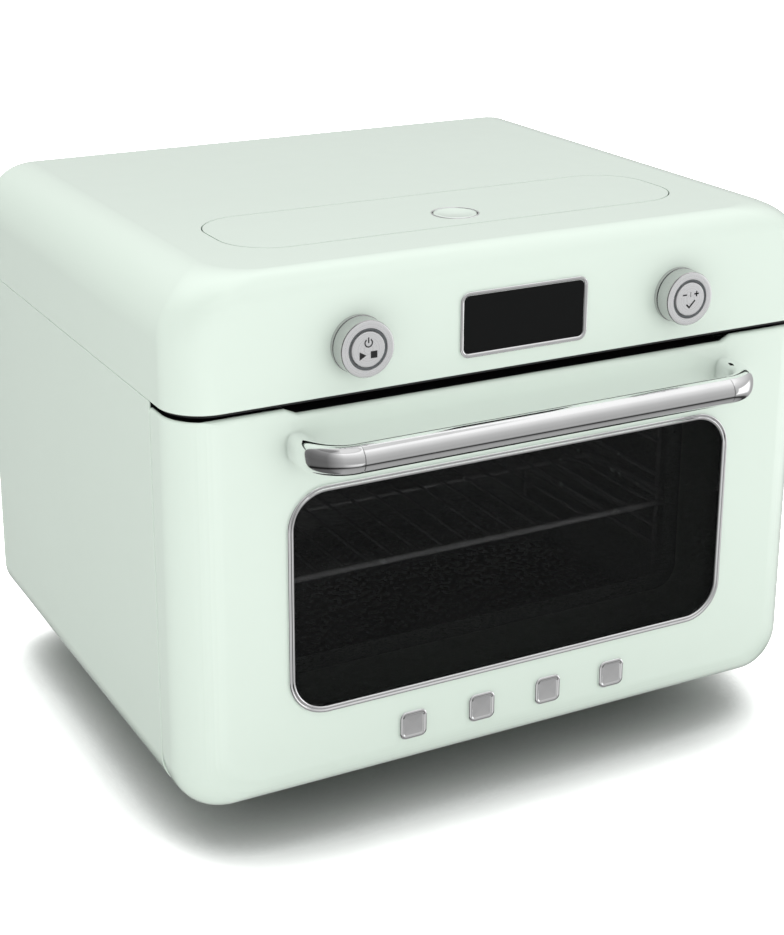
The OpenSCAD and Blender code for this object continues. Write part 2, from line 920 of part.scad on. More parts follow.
module display_bezel() {
    color(chrome) difference() {
        union() {
            along_y(front_y - display_bezel_t, front_y) display_outline(display_bezel_w);
            along_y(front_y - 0.1, front_y + 3.5) display_outline(display_sleeve);
        }
        along_y(front_y - 3, front_y + 5) display_outline(0.05);
    }
}

module display_module() {
    color("#22303a") along_y(front_y + 2.2, front_y + 12) display_outline(-1);
}

module knob_collars() {
    color(chrome) for (s = [-1, 1]) difference() {
        rod_y(s * knob_x, control_z, collar_r, front_y - collar_t, front_y);
        rod_y(s * knob_x, control_z, sleeve_r + 1.2, front_y - 4, front_y + 1);
    }
}

// Turning ring of one knob, around its centre button
module knob(x) {
    color(chrome) difference() {
        union() {
            rod_y(x, control_z, knob_r, knob_face, knob_back);
            rod_y(x, control_z, sleeve_r, knob_back - 1, encoder_y + 12);
        }
        rod_y(x, control_z, groove_r, knob_face - 1, knob_face + 2);
        rod_y(x, control_z, button_r + 0.3, knob_face - 1, knob_back - 2.5);
        rod_y(x, control_z, stem_r + 0.05, knob_face - 1, encoder_y + 13);
    }
}

module left_knob() {
    knob(-knob_x);
}

module right_knob() {
    knob(knob_x);
}

// Centre button of one knob, whose stem reaches the switch on the board
module knob_button(x) {
    color("#c9cbce") {
        rod_y(x, control_z, button_r, knob_face - 0.4, knob_back - 5.5);
        rod_y(x, control_z, stem_r, knob_back - 6, switch_y - press_travel - 0.2);
    }
}

module left_button() {
    knob_button(-knob_x);
}

module right_button() {
    knob_button(knob_x);
}

module encoders() {
    color("#3c5a78") for (s = [-1, 1]) difference() {
        along_y(encoder_y, encoder_y + encoder_d)
            plate(s * knob_x, control_z, encoder_w, encoder_w, 2);
        rod_y(s * knob_x, control_z, sleeve_r + 0.05, encoder_y - 1, encoder_y + encoder_bore);
        rod_y(s * knob_x, control_z, stem_r + 0.3, encoder_y, encoder_y + 16);
    }
}

module control_board() {
    color("#2f6b45") along_y(board_y, board_y + board_t)
        panel(-board_half, deck_z + 6, board_half, top_z - 12, [3, 3, 3, 3]);
    color("#2b2c2e") {
        for (s = [-1, 1]) along_y(switch_y, board_y) plate(s * knob_x, control_z, switch_w, switch_w, 1);
        for (x = [-60:24:60]) along_y(board_y + board_t, board_y + board_t + power_part_d)
            plate(x, control_z - 6, power_part_w, power_part_h, 1);
    }
    color("#7d8185") for (x = [-130, 105, 135])
        rod_y(x, control_z + 4, coil_r, board_y + board_t, board_y + board_t + coil_l);
}

// ---- Water and steam ----

module tank_well() {
    color("#55595c") difference() {
        along_z(well_z, top_z - cover_wall) lid_outline(well_margin + well_wall);
        along_z(well_z + well_wall, top_z) lid_outline(well_margin);
    }
}

module water_tank() {
    color("#b9cbd1") difference() {
        along_z(tank_z, lid_z) lid_outline(-tank_inset);
        along_z(tank_z + tank_wall, lid_z + 1) lid_outline(-tank_inset - tank_wall);
    }
}

module tank_lid() {
    color(enamel) difference() {
        union() {
            along_z(lid_z, top_z) lid_outline(0);
            rod_z(0, lid_button_y, ring_r + cup_wall, cup_floor, lid_z + 1);
            difference() {
                along_z(lid_z - lid_rim_h, lid_z) lid_outline(-tank_inset - tank_wall - 0.1);
                along_z(lid_z - lid_rim_h - 1, lid_z + 1) lid_outline(-tank_inset - tank_wall - cup_wall);
            }
        }
        rod_z(0, lid_button_y, ring_r, cup_floor + cup_wall, top_z + 1);
    }
}

module lid_ring() {
    color(chrome) difference() {
        rod_z(0, lid_button_y, ring_r, top_z - ring_h, top_z + ring_proud);
        rod_z(0, lid_button_y, ring_r - ring_wall, top_z - ring_h - 1, top_z + 1);
    }
}

module lid_button() {
    color(enamel) {
        rod_z(0, lid_button_y, ring_r - ring_wall - 0.35, cup_floor + 8, top_z + button_proud);
        rod_z(0, lid_button_y, lid_stem_r, cup_floor + cup_wall + lid_press + 0.2, cup_floor + 9);
    }
}

module water_pump() {
    color("#3b4a55") {
        rod_y(pump_x, pump_z, pump_r, pump_front, pump_rear);
        along_z(deck_top, deck_z + 8)
            plate(pump_x, (pump_front + pump_rear) / 2, pump_foot_w, pump_foot_d, 2);
    }
}

module water_hose() {
    well_back = lid_y + lid_d / 2 + well_margin + well_wall;
    color("#e4e4de") for (y = [[well_back, pump_front], [pump_rear, boiler_front]])
        rod_y(pump_x, pump_z, pipe_r, y[0], y[1]);
}

module steam_generator() {
    color("#a9adb0") {
        along_z(deck_top, deck_z + boiler_h)
            panel(boiler_left, boiler_front, boiler_right, boiler_rear,
                [boiler_r, boiler_r, boiler_r, boiler_r]);
        rod_z(steam_x, steam_y, pipe_r, cavity_top - 4, deck_z + 3);
    }
}

// ---- Cooling blower ----

module blower_housing() {
    out = blower_half + 4;
    inside = out - blower_wall;
    color("#8a8e92") difference() {
        union() {
            rod_x(blower_y, blower_z, blower_shell + blower_wall, -out, out);
            along_x(-out, out) panel(0, deck_top, blower_y, deck_top + blower_out_h);
        }
        rod_x(blower_y, blower_z, blower_shell, -inside, inside);
        along_x(-inside, inside)
            panel(-1, deck_top + blower_wall, blower_y, deck_top + blower_out_h - blower_wall);
        along_x(-inside, inside)
            panel(blower_y - 4, blower_z + 8, blower_y + 50, blower_z + 40);
        rod_x(blower_y, blower_z, shaft_r + 1, -out - 5, out + 5);
    }
}

module blower_wheel() {
    color("#9ea2a6") {
        for (x = [-blower_half, 0, blower_half - blower_disc_t])
            rod_x(blower_y, blower_z, blower_r, x, x + blower_disc_t);
        for (k = [0:blower_blades - 1])
            translate([0, blower_y, blower_z]) rotate([360 / blower_blades * k, 0, 0])
                translate([-blower_half, blower_r - blower_blade_w - 1, -blower_blade_t / 2])
                    cube([2 * blower_half, blower_blade_w, blower_blade_t]);
        rod_x(blower_y, blower_z, shaft_r, -blower_half - 8, blower_motor_x + blower_motor_l);
    }
}

module blower_motor() {
    body_x = blower_motor_x + blower_plate_t;
    color("#6f7478") difference() {
        union() {
            along_x(blower_motor_x, body_x)
                plate(blower_y, blower_z - 2, blower_plate_w, blower_plate_h, 3);
            rod_x(blower_y, blower_z, blower_motor_r, body_x, body_x + blower_motor_l);
        }
        rod_x(blower_y, blower_z, shaft_r + 0.05, blower_motor_x - 1, blower_motor_x + blower_motor_l + 1);
    }
}

top_cover();
body_shell();
base_plate();
rear_panel();
feet();
foot_pads();
front_frame();
air_outlet_grille();
top_deck();
cavity_liner();
insulation();
fan_guard();
fan_motor();
ring_heater();
grill_element();
rack_support_left();
rack_support_right();
wire_rack();
lamp_housing();
lamp_lens();
temperature_sensor();
door_gasket();
hinge_bracket_left();
hinge_bracket_right();
steam_generator();
water_pump();
water_hose();
tank_well();
control_board();
display_module();
display_glass();
display_bezel();
encoders();
knob_collars();
blower_housing();
blower_motor();
power_gland();
rear_screws();
door_outer_panel();
door_inner_panel();
door_top_trim();
window_glass_outer();
window_glass_inner();
window_bezel();
handle_bar();
handle_bracket_left();
handle_bracket_right();
handle_screws();
hinge_pins();
trim_studs();
water_tank();
tank_lid();
lid_ring();
lid_button();
left_knob();
right_knob();
left_button();
right_button();
convection_fan();
blower_wheel();
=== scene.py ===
import json
import math

import bmesh
import bpy
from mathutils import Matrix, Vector, geometry


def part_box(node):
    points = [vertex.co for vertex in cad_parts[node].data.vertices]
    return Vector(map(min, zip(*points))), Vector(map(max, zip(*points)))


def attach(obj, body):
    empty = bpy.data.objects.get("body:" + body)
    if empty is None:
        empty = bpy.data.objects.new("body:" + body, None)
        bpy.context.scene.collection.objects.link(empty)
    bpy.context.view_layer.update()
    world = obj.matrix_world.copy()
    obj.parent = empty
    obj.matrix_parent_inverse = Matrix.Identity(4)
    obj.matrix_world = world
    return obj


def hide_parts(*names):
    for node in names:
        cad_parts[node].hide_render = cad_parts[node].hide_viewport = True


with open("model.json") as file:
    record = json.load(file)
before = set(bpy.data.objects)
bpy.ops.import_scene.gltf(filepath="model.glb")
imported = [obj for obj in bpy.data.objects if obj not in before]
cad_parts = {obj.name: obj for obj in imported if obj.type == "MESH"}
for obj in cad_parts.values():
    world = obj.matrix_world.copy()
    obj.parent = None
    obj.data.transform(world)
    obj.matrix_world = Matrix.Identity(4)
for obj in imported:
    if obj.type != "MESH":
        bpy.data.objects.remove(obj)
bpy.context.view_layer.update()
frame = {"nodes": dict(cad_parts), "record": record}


# ---- Measures, in millimetres, read from the frame ----


def span(node):
    """A node's box as x0, y0, z0, x1, y1, z1."""
    low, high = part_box(node)
    return [c * 1000 for c in (*low, *high)]


def from_front(box):
    """A box as the front view shows it: x0, z0, x1, z1."""
    return box[0], box[2], box[3], box[5]


COVER = span("top_cover")
DOOR = span("door_outer_panel")
SHELL = span("body_shell")
BEZEL = span("window_bezel")
SCREEN = from_front(span("display_glass"))
KNOB = span("left_knob")
KNOB_X = -(KNOB[0] + KNOB[3]) / 2
KNOB_Z = (KNOB[2] + KNOB[5]) / 2
LID = span("tank_lid")
HALF = COVER[3]
FRONT = COVER[1]
BACK = COVER[4]
TOP = COVER[5]
SEAM = COVER[2]
BASE = DOOR[2]
BEZEL_W = 4.6
SCREEN_R = 4
ARC = 14
TURNS = 96


# ---- Mesh building ----


def outline(x0, z0, x1, z1, radii, n=ARC):
    """Anticlockwise rounded rectangle from its first corner, as pairs."""
    corners = ((x0, z0, 1, 1, 180), (x1, z0, -1, 1, 270), (x1, z1, -1, -1, 0), (x0, z1, 1, -1, 90))
    points = []
    for (cx, cz, sx, sz, start), r in zip(corners, radii):
        for k in range(n + 1):
            a = math.radians(start + 90 * k / n)
            points.append((cx + sx * r + r * math.cos(a), cz + sz * r + r * math.sin(a)))
    return points


def grown(box, grow, radius, n=ARC):
    """A rounded outline round the middle of a box (x0, z0, x1, z1)."""
    return outline(box[0] - grow, box[1] - grow, box[2] + grow, box[3] + grow, [radius + grow] * 4, n)


def angles(n):
    return [2 * math.pi * k / n for k in range(n)]


def circle(cx, cz, r, n):
    return [(cx + r * math.cos(a), cz + r * math.sin(a)) for a in angles(n)]


def at_y(pairs, y):
    return [(u, y, v) for u, v in pairs]


def at_z(pairs, z):
    return [(u, v, z) for u, v in pairs]


def skin(rings, closed=True, around=False):
    """Quads between rings of equal length; around also joins the last ring to the first."""
    n = len(rings[0])
    verts = [p for ring in rings for p in ring]
    faces = []
    for j in range(len(rings) if around else len(rings) - 1):
        k = (j + 1) % len(rings)
        for i in range(n if closed else n - 1):
            m = (i + 1) % n
            faces.append((j * n + i, j * n + m, k * n + m, k * n + i))
    return verts, faces


def cap(verts, faces, loops):
    """Fills the flat area inside the first loop of vertex numbers and outside the others."""
    order = [i for loop in loops for i in loop]
    for tri in geometry.tessellate_polygon([[Vector(verts[i]) for i in loop] for loop in loops]):
        faces.append(tuple(order[i] for i in tri))


def add_loop(verts, points):
    start = len(verts)
    verts.extend(points)
    return list(range(start, len(verts)))


def make(name, verts, faces, body, slot, stands_for=(), wall=0.0, bevel=0.0, flat=False, cut=()):
    """Makes one piece of the visible model from millimetre coordinates."""
    bm = bmesh.new()
    made = [bm.verts.new([c / 1000 for c in p]) for p in verts]
    for f in faces:
        if len(set(f)) > 2:
            try:
                bm.faces.new([made[i] for i in f])
            except ValueError:
                pass
    bmesh.ops.remove_doubles(bm, verts=bm.verts, dist=1e-6)
    bmesh.ops.recalc_face_normals(bm, faces=bm.faces)
    mesh = bpy.data.meshes.new(name)
    bm.to_mesh(mesh)
    bm.free()
    for poly in mesh.polygons:
        poly.use_smooth = not flat
    piece = bpy.data.objects.new(name, mesh)
    bpy.context.scene.collection.objects.link(piece)
    if wall:
        m = piece.modifiers.new("wall", "SOLIDIFY")
        m.thickness = wall / 1000
        m.offset = -1
        m.use_even_offset = True
    for tool in cut:
        m = piece.modifiers.new("cut", "BOOLEAN")
        m.operation = "DIFFERENCE"
        m.solver = "EXACT"
        m.object = tool
    if bevel:
        m = piece.modifiers.new("edge", "BEVEL")
        m.width = bevel / 1000
        m.segments = 3
        m.limit_method = "ANGLE"
        m.angle_limit = math.radians(40)
    if not flat:
        m = piece.modifiers.new("normals", "WEIGHTED_NORMAL")
        m.keep_sharp = True
    if wall or cut or bevel:
        settle(piece)
    piece.data.materials.clear()
    piece.data.materials.append(MATERIALS[slot])
    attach(piece, body)
    for node in stands_for:
        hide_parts(node)
    return piece


def settle(piece):
    """Applies a piece's modifiers and drops the mesh it came from."""
    graph = bpy.context.evaluated_depsgraph_get()
    done = bpy.data.meshes.new_from_object(piece.evaluated_get(graph))
    done.name = piece.name
    old = piece.data
    piece.modifiers.clear()
    piece.data = done
    bpy.data.meshes.remove(old)


def lathe(name, profile, cx, cz, body, slot, stands_for=(), upright=False):
    """Turns a closed profile of (radius, place) about Y, or about Z when upright; (cx, cz) is the axis."""
    rings = []
    for a in angles(TURNS):
        if upright:
            rings.append([(cx + r * math.cos(a), cz + r * math.sin(a), h) for r, h in profile])
        else:
            rings.append([(cx + r * math.cos(a), h, cz + r * math.sin(a)) for r, h in profile])
    verts, faces = skin(rings, around=True)
    return crease(make(name, verts, faces, body, slot, stands_for))


def crease(piece, degrees=35):
    """Marks the edges sharper than this, so that smooth shading stops at them."""
    bm = bmesh.new()
    bm.from_mesh(piece.data)
    for e in bm.edges:
        if len(e.link_faces) == 2 and e.calc_face_angle() > math.radians(degrees):
            e.smooth = False
    bm.to_mesh(piece.data)
    bm.free()
    return piece


# ---- Materials ----


def shader(name, color, rough, metallic=0.0, **extra):
    """A principled material; returns (material, tree, shader node)."""
    mat = bpy.data.materials.new(name)
    mat.use_nodes = True
    tree = mat.node_tree
    tree.nodes.clear()
    out = tree.nodes.new("ShaderNodeOutputMaterial")
    bsdf = tree.nodes.new("ShaderNodeBsdfPrincipled")
    tree.links.new(bsdf.outputs[0], out.inputs[0])
    bsdf.inputs["Base Color"].default_value = (*color, 1)
    bsdf.inputs["Roughness"].default_value = rough
    bsdf.inputs["Metallic"].default_value = metallic
    for key, value in extra.items():
        bsdf.inputs[key.replace("_", " ")].default_value = value
    return mat, tree, bsdf


def grain(tree, scale, detail=4.0, stretch=(1, 1, 1)):
    """Noise in object space; stretch squeezes it along an axis."""
    place = tree.nodes.new("ShaderNodeTexCoord")
    shape = tree.nodes.new("ShaderNodeMapping")
    shape.inputs["Scale"].default_value = stretch
    noise = tree.nodes.new("ShaderNodeTexNoise")
    noise.inputs["Scale"].default_value = scale
    noise.inputs["Detail"].default_value = detail
    tree.links.new(place.outputs["Object"], shape.inputs[0])
    tree.links.new(shape.outputs[0], noise.inputs["Vector"])
    return noise.outputs["Fac"]


def ramp(tree, source, low, high):
    """Maps a noise factor to a range of colours or greys."""
    node = tree.nodes.new("ShaderNodeValToRGB")
    for element, position, level in zip(node.color_ramp.elements, (0.3, 0.7), (low, high)):
        element.position = position
        element.color = (*(level if isinstance(level, list) else [level] * 3), 1)
    tree.links.new(source, node.inputs[0])
    return node.outputs[0]


def bump(tree, bsdf, source, strength, distance):
    node = tree.nodes.new("ShaderNodeBump")
    node.inputs["Strength"].default_value = strength
    node.inputs["Distance"].default_value = distance
    tree.links.new(source, node.inputs["Height"])
    tree.links.new(node.outputs[0], bsdf.inputs["Normal"])


def tint(color, k):
    return [min(1.0, c * k) for c in color]


def shaded(tree, bsdf, factor, color, dark, light):
    """Lets the base colour wander between two tints of it."""
    tree.links.new(ramp(tree, factor, tint(color, dark), tint(color, light)), bsdf.inputs["Base Color"])


def worn(tree, bsdf, factor, rough, smooth, dull):
    """Lets the roughness wander between two shares of it."""
    tree.links.new(ramp(tree, factor, rough * smooth, rough * dull), bsdf.inputs["Roughness"])


def painted(name, color, rough, coat=0.0, spread=0.015, peel=0.03, smudge=0.18):
    mat, tree, bsdf = shader(name, color, rough, Coat_Weight=coat, Coat_Roughness=0.04)
    shaded(tree, bsdf, grain(tree, 7.0, 3.0), color, 1 - spread, 1 + spread)
    worn(tree, bsdf, grain(tree, 60.0), rough, 1 - smudge, 1 + smudge)
    bump(tree, bsdf, grain(tree, 900.0, 2.0), peel, 0.0002)
    return mat


def metal(name, color, rough, brushed=None, spread=0.02, strength=0.04, purity=1.0):
    mat, tree, bsdf = shader(name, color, rough, purity)
    shaded(tree, bsdf, grain(tree, 40.0), color, 1 - spread, 1 + spread)
    fine = grain(tree, 220.0, stretch=brushed) if brushed else grain(tree, 90.0)
    worn(tree, bsdf, fine, rough, 0.75, 1.3)
    if brushed:
        bump(tree, bsdf, fine, strength, 0.0002)
    return mat


def moulded(name, color, rough, strength=0.12, spread=0.08, **extra):
    mat, tree, bsdf = shader(name, color, rough, **extra)
    shaded(tree, bsdf, grain(tree, 80.0), color, 1 - spread, 1 + spread)
    bump(tree, bsdf, grain(tree, 1500.0, 2.0), strength, 0.0003)
    return mat


def glassy(name, color, alpha, rough=0.03, level=0.3):
    mat, tree, bsdf = shader(name, color, rough, Alpha=alpha, Specular_IOR_Level=level)
    worn(tree, bsdf, grain(tree, 25.0), rough, 0.8, 1.3)
    return mat


def calc(tree, kind, *values):
    """A math node; its inputs are numbers or outputs of other nodes."""
    node = tree.nodes.new("ShaderNodeMath")
    node.operation = kind
    for slot, value in zip(node.inputs, values):
        if isinstance(value, (int, float)):
            slot.default_value = value
        else:
            tree.links.new(value, slot)
    return node.outputs[0]


def turned(name, color, rough):
    """Satin face turned on a lathe: fine rings about the nearest knob's axis."""
    mat, tree, bsdf = shader(name, color, rough, 0.6)
    place = tree.nodes.new("ShaderNodeTexCoord")
    part = tree.nodes.new("ShaderNodeSeparateXYZ")
    tree.links.new(place.outputs["Object"], part.inputs[0])
    x = calc(tree, "SUBTRACT", calc(tree, "ABSOLUTE", part.outputs[0]), KNOB_X / 1000)
    z = calc(tree, "SUBTRACT", part.outputs[2], KNOB_Z / 1000)
    square = calc(tree, "ADD", calc(tree, "MULTIPLY", x, x), calc(tree, "MULTIPLY", z, z))
    radius = calc(tree, "SQRT", square)
    line = tree.nodes.new("ShaderNodeTexNoise")
    line.noise_dimensions = "1D"
    line.inputs["Scale"].default_value = 4500.0
    line.inputs["Detail"].default_value = 3.0
    tree.links.new(radius, line.inputs["W"])
    shaded(tree, bsdf, line.outputs["Fac"], color, 0.93, 1.05)
    worn(tree, bsdf, line.outputs["Fac"], rough, 0.8, 1.25)
    bump(tree, bsdf, line.outputs["Fac"], 0.08, 0.0001)
    return mat


def wool(name, color):
    mat, tree, bsdf = shader(name, color, 0.95)
    shaded(tree, bsdf, grain(tree, 160.0, 8.0), color, 0.6, 1.25)
    bump(tree, bsdf, grain(tree, 260.0, 8.0), 0.8, 0.002)
    return mat


MATERIALS = {
    "mint_enamel": painted("mint_enamel", (0.688, 0.788, 0.705), 0.26, coat=0.7, spread=0.003, peel=0.004,
                           smudge=0.03),
    "black_enamel": painted("black_enamel", (0.012, 0.012, 0.013), 0.35, peel=0.06),
    "grey_coat": painted("grey_coat", (0.30, 0.31, 0.32), 0.55, peel=0.35, spread=0.04),
    "chrome": metal("chrome", (0.93, 0.932, 0.935), 0.07),
    "brushed_silver": turned("brushed_silver", (0.76, 0.765, 0.77), 0.34),
    "inox": metal("inox", (0.56, 0.56, 0.565), 0.28, brushed=(1, 1, 30), strength=0.008),
    "zinc_sheet": metal("zinc_sheet", (0.55, 0.57, 0.59), 0.38, spread=0.12),
    "bright_wire": metal("bright_wire", (0.74, 0.74, 0.75), 0.22, purity=0.45),
    "heater_sheath": painted("heater_sheath", (0.05, 0.05, 0.052), 0.6, peel=0.3, spread=0.2),
    "black_plastic": moulded("black_plastic", (0.012, 0.012, 0.013), 0.5),
    "grey_plastic": moulded("grey_plastic", (0.10, 0.11, 0.115), 0.5),
    "blue_plastic": moulded("blue_plastic", (0.05, 0.12, 0.20), 0.4),
    "clear_plastic": moulded("clear_plastic", (0.60, 0.72, 0.75), 0.12, strength=0.02, Alpha=0.42),
    "ceramic": moulded("ceramic", (0.74, 0.73, 0.68), 0.25, strength=0.05, spread=0.03),
    "black_glass": glassy("black_glass", (0.006, 0.0064, 0.0064), 1.0, level=0.12),
    "inner_glass": glassy("inner_glass", (0.02, 0.022, 0.022), 0.10),
    "lens_glass": glassy("lens_glass", (0.80, 0.82, 0.80), 0.45, 0.1, 0.5),
    "foot_rubber": moulded("foot_rubber", (0.02, 0.02, 0.02), 0.85, strength=0.3),
    "seal_silicone": moulded("seal_silicone", (0.025, 0.025, 0.026), 0.6),
    "hose_silicone": moulded("hose_silicone", (0.72, 0.72, 0.68), 0.45),
    "mineral_wool": wool("mineral_wool", (0.55, 0.45, 0.20)),
    "circuit_green": moulded("circuit_green", (0.02, 0.13, 0.06), 0.4),
    "motor_grey": painted("motor_grey", (0.12, 0.13, 0.14), 0.5, peel=0.3),
    "cast_alloy": metal("cast_alloy", (0.52, 0.53, 0.54), 0.45, spread=0.1),
}
# Satin chrome for the knob rims and collars; its green sits a little under red and blue, a painted tint that
# offsets the enamel's green reflection.
SATIN_CHROME = metal("satin_chrome", (0.60, 0.59, 0.60), 0.2)
WINDOW_GLASS = glassy("window_glass", (0.006, 0.0064, 0.0064), 0.42, level=0.15)


def dress_cad_nodes():
    for entry in frame["record"]["subparts"]:
        node = frame["nodes"][entry["node"]]
        node.data.materials.clear()
        node.data.materials.append(MATERIALS[entry["material_slot"]])
    frame["nodes"]["window_glass_outer"].data.materials[0] = WINDOW_GLASS
    frame["nodes"]["knob_collars"].data.materials[0] = SATIN_CHROME


# ---- Top cover ----


def drop(radius, depth):
    """How far a rounding of this radius has drawn in at this distance from its end plane."""
    if depth >= radius:
        return 0.0
    return radius - math.sqrt(max(0.0, radius * radius - (radius - depth) ** 2))


SIDE_R, BROW_R, EDGE_R, REAR_R = 41.0, 20.0, 30.0, 6.0
LID_GAP, LID_R = 0.9, 36
KNOB_HOLE_R = 9.2
SCREEN_HOLE = 2
COVER_WALL, CASE_WALL, DOOR_WALL = 2.2, 1.5, 1.4


def top_cover():
    heights = [SEAM, SEAM + 2, TOP - SIDE_R, TOP - BROW_R]
    heights += [TOP - SIDE_R * (1 - math.sin(math.radians(a))) for a in (6, 12, 18, 24)]
    heights += [TOP - BROW_R * (1 - math.sin(math.radians(a))) for a in range(8, 91, 6)]
    heights += [TOP]
    heights = sorted(set(round(h, 4) for h in heights))
    rings = []
    for z in heights:
        ix, iy = drop(SIDE_R, TOP - z), drop(BROW_R, TOP - z)
        r = EDGE_R + 0.12 * ix
        rear = BACK - drop(REAR_R, TOP - z)
        section = outline(ix - HALF, FRONT + iy, HALF - ix, rear, [r, r, REAR_R, REAR_R])
        rings.append(at_z(section, z))
    verts, faces = skin(rings)
    n = len(rings[0])
    flat_rows = heights.index(round(TOP - BROW_R, 4))
    left, right = ARC, ARC + 1
    faces = [f for f in faces if not (f[0] % n == left and f[0] // n < flat_rows)]
    border = [j * n + left for j in range(flat_rows + 1)]
    border += [j * n + right for j in range(flat_rows, -1, -1)]
    holes = [add_loop(verts, at_y(grown(SCREEN, SCREEN_HOLE, SCREEN_R, 6), FRONT))]
    for s in (-1, 1):
        holes.append(add_loop(verts, at_y(circle(s * KNOB_X, KNOB_Z, KNOB_HOLE_R, 40), FRONT)))
    cap(verts, faces, [border, *holes])
    lid = add_loop(verts, at_z(grown((LID[0], LID[1], LID[3], LID[4]), LID_GAP, LID_R), TOP))
    cap(verts, faces, [[(len(heights) - 1) * n + i for i in range(n)], lid])
    make("cover_shell", verts, faces, "root", "mint_enamel", ["top_cover"], wall=COVER_WALL, bevel=0.5)


# ---- Case and door ----

DOOR_SIDE_R, SOLE_R, LIP_R, DOOR_BACK_R = 30.0, 22.0, 4.0, 8.0
DOOR_DEEP = round(DOOR[4] - FRONT, 1)
DIP_DEEP, DIP_TOP, DIP_FOOT = 4, 174, 165.5
HINGE_X, HINGE_Y = 222, -150.6
NOTCH_W, NOTCH_DEEP, NOTCH_HIGH = 10, 30, 24


def body_shell():
    x, z0, z1 = SHELL[3], SHELL[2], SHELL[5]
    path = outline(-x, z0, x, z1, [EDGE_R, EDGE_R, 0, 0])[: 2 * (ARC + 1)]
    path = [(-x, z1)] + path + [(x, z1)]
    rings = [at_y(path, y) for y in (SHELL[1], SHELL[4])]
    verts, faces = skin(rings, closed=False)
    make("case_shell", verts, faces, "root", "mint_enamel", ["body_shell"], wall=CASE_WALL, bevel=0.6)


def door_section(depth):
    """The door's outline at a depth behind its front face."""
    side = drop(DOOR_SIDE_R, depth)
    rear = DOOR[4] - FRONT - depth
    low = BASE + max(drop(SOLE_R, depth), drop(DOOR_BACK_R, rear))
    high = DOOR[5] - drop(LIP_R, depth)
    r = EDGE_R - 0.1 * side
    pts = outline(side - HALF, low, HALF - side, high, [r, r, 2, 2])
    right, left = pts[: 3 * (ARC + 1)], pts[3 * (ARC + 1) :]
    foot = high - DIP_DEEP
    dip = [(DIP_TOP, high), (DIP_FOOT, foot), (-DIP_FOOT, foot), (-DIP_TOP, high)]
    return at_y(right + dip + left, FRONT + depth)


def door_shell():
    depths = [DOOR_SIDE_R * (1 - math.cos(math.radians(a))) for a in range(0, 91, 6)]
    depths += [0.08, 0.4, 0.75, 1.6, 3.2, LIP_R]
    depths += [DOOR_DEEP - DOOR_BACK_R * (1 - math.sin(math.radians(a))) for a in range(0, 91, 15)]
    depths = sorted(set(round(min(d, DOOR_DEEP), 4) for d in depths))
    rings = [door_section(d) for d in depths]
    verts, faces = skin(rings)
    n = len(rings[0])
    lip_row = depths.index(LIP_R)
    first = 3 * (ARC + 1) - 1
    last = first + 5
    faces = [f for f in faces if not (first <= f[0] % n < last and f[0] // n >= lip_row)]
    window = add_loop(verts, at_y(window_outline(2.6), FRONT))
    cap(verts, faces, [list(range(n)), window])
    notches = [notch(s * HINGE_X) for s in (-1, 1)]
    make("door_shell", verts, faces, "door", "mint_enamel", ["door_outer_panel"], wall=DOOR_WALL, bevel=0.45,
         cut=notches)
    for tool in notches:
        bpy.data.objects.remove(tool)


def notch(x):
    """A block that cuts the door's lower rear edge free of a hinge bracket."""
    half, low = NOTCH_W / 2, BASE - 1
    near, far = HINGE_Y, HINGE_Y + NOTCH_DEEP
    corners = [(x - half, near), (x + half, near), (x + half, far), (x - half, far)]
    verts, faces = skin([at_z(corners, z) for z in (low, low + NOTCH_HIGH)])
    faces += [(3, 2, 1, 0), (4, 5, 6, 7)]
    mesh = bpy.data.meshes.new("notch")
    mesh.from_pydata([[c / 1000 for c in v] for v in verts], [], faces)
    tool = bpy.data.objects.new("notch", mesh)
    bpy.context.scene.collection.objects.link(tool)
    return tool


# ---- Bright frames, studs and glass ----


WINDOW_R = 24


def window_outline(grow):
    w = BEZEL_W
    return grown((BEZEL[0] + w, BEZEL[2] + w, BEZEL[3] - w, BEZEL[5] - w), grow, WINDOW_R)


def bright_frames():
    profile = [(BEZEL_W, 0), (BEZEL_W, -1.0), (4.35, -1.5), (3.85, -1.78), (3.2, -1.7), (2.75, -1.25),
               (2.45, -1.05), (2.2, -1.2), (1.9, -1.6), (1.4, -1.78), (0.7, -1.6), (0.2, -1.1),
               (0, -0.4), (0, 1.15), (2.4, 1.15), (2.4, 0)]
    verts, faces = skin([at_y(window_outline(g), FRONT + y) for g, y in profile], around=True)
    crease(make("window_frame", verts, faces, "door", "chrome", ["window_bezel"]), 50)
    profile = [(3, 0), (3, -0.8), (2.75, -1.2), (2.3, -1.38), (1.3, -1.38), (0.6, -1.15), (0.1, -0.7),
               (0, -0.2), (0, 3.4), (1.9, 3.4), (1.9, 0)]
    verts, faces = skin([at_y(grown(SCREEN, g, SCREEN_R), FRONT + y) for g, y in profile], around=True)
    crease(make("display_frame", verts, faces, "root", "chrome", ["display_bezel"]), 50)


def studs():
    whole = span("trim_studs")
    side, mid = 21.0, (whole[2] + whole[5]) / 2
    profile = [(0, 0), (0, -1.1), (-0.25, -1.6), (-0.8, -1.92), (-1.5, -2.0), (-2.3, -1.9), (-2.8, -1.5),
               (-3.3, -1.3)]
    verts, faces = [], []
    for k in (-1.5, -0.5, 0.5, 1.5):
        x = k * (whole[3] - side / 2) / 1.5
        box = (x - side / 2, mid - side / 2, x + side / 2, mid + side / 2)
        v, f = skin([at_y(grown(box, g, 5, 8), FRONT + y) for g, y in profile])
        n = len(v) // len(profile)
        centre = add_loop(v, [(x, FRONT - 1.55, mid)])[0]
        start = (len(profile) - 1) * n
        f += [(start + i, start + (i + 1) % n, centre) for i in range(n)]
        f += [tuple(range(n))]
        faces += [tuple(i + len(verts) for i in face) for face in f]
        verts += v
    crease(make("door_studs", verts, faces, "door", "chrome", ["trim_studs"]), 50)


# ---- Handle ----

TUBE_WALL = 1.3
TUBE_SIDES = 72
SPIGOT, SPIGOT_R = 13, 1.4
FLATTER = 5.1


